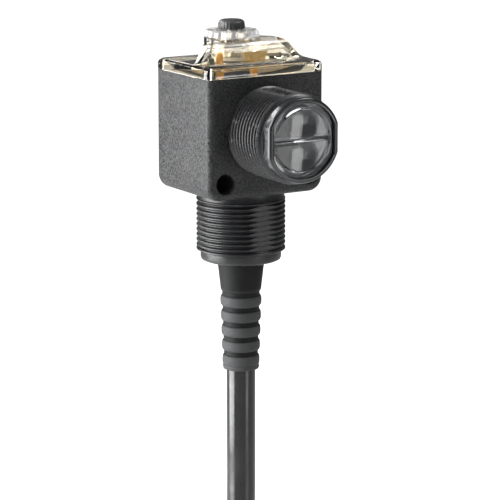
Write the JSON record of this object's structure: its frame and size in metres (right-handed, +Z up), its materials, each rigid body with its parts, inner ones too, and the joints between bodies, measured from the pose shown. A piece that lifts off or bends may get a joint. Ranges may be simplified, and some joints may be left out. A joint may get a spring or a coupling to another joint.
{
  "type": "photoelectric sensor",
  "caption": "Right-angle photoelectric sensor with a threaded lens barrel, a threaded base barrel, a clear top cover, two turned controls and a moulded-in cable.",
  "frame": {"origin": "on the base barrel's axis, where the barrel leaves the underside of the housing", "axes": "+Z up through the housing to the controls, -Y the way the lens looks, +X to the right as the lens face is looked at"},
  "size_m": [0.1323, 0.0583, 0.3517],
  "materials": {
    "housing": "fine spark-eroded texture, dark grey-black thermoplastic polyester",
    "cover": "clear moulded plastic with a faint amber tint",
    "gasket": "amber silicone",
    "seal": "matt black rubber",
    "lens_ring": "polished black plastic",
    "lens": "clear acrylic",
    "selector": "clear moulded plastic",
    "white_plastic": "satin",
    "plated": "nickel plated",
    "knob": "satin black",
    "brass": "satin",
    "pot_blue": "satin",
    "chip_black": "satin",
    "board": "green solder mask over glass laminate",
    "led_green": "tinted epoxy, unlit",
    "led_amber": "tinted epoxy, unlit",
    "amber_guide": "amber translucent plastic",
    "holder": "matt black",
    "emitter": "clear bluish epoxy",
    "receiver": "daylight-blocking epoxy",
    "relay": "satin",
    "capacitor": "sleeved",
    "film_yellow": "satin",
    "terminal": "satin",
    "retainer": "satin",
    "relief": "matt dark grey flexible vinyl",
    "cable_jacket": "smooth semi-gloss vinyl",
    "tie": "satin",
    "tinned": "tinned copper",
    "insulation_brown": "satin vinyl",
    "insulation_blue": "satin vinyl",
    "insulation_white": "satin vinyl",
    "insulation_black": "satin vinyl",
    "insulation_yellow": "satin vinyl"
  },
  "bodies": {
    "housing": {"housing": "housing", "top_cover": "cover", "cover_gasket": "gasket", "lens_ring": "lens_ring", "lens": "lens", "lens_seal": "seal", "pot_body": "pot_blue", "selector_switch": "chip_black", "control_board": "board", "power_led": "led_green", "margin_led": "led_amber", "output_led": "led_amber", "light_guide": "amber_guide", "optics_holder": "holder", "emitter_led": "emitter", "receiver_diode": "receiver", "optics_board": "board", "optics_link": "chip_black", "power_board": "board", "relay": "relay", "smoothing_capacitor": "capacitor", "film_capacitor": "film_yellow", "regulator": "chip_black", "terminal_block": "terminal", "board_link": "chip_black", "inner_lead_brown": "insulation_brown", "inner_lead_blue": "insulation_blue", "inner_lead_white": "insulation_white", "inner_lead_black": "insulation_black", "inner_lead_yellow": "insulation_yellow", "relief_retainer": "retainer", "strain_relief": "relief", "cable_root": "cable_jacket", "cable": "cable_jacket", "cable_coil": "cable_jacket", "coil_ties": "tie", "lead_brown": "insulation_brown", "lead_blue": "insulation_blue", "lead_white": "insulation_white", "lead_black": "insulation_black", "lead_yellow": "insulation_yellow", "lead_tips": "tinned"},
    "selector": {"selector_ring": "selector", "selector_rotor": "white_plastic", "selector_magnet": "plated", "selector_seal": "seal"},
    "sensitivity": {"sensitivity_knob": "knob", "knob_shaft": "plated", "knob_seal": "seal", "pot_wiper": "brass"}
  },
  "joints": [
    {"name": "selector_turn", "type": "hinge", "parent": "housing", "child": "selector", "pos_m": [0, 0.0059, 0.051], "axis": [0, 0, 1], "range_deg": [0, 90]},
    {"name": "sensitivity_turn", "type": "hinge", "parent": "housing", "child": "sensitivity", "pos_m": [0, 0.0059, 0.054], "axis": [0, 0, 1], "range_deg": [-135, 135]}
  ]
}
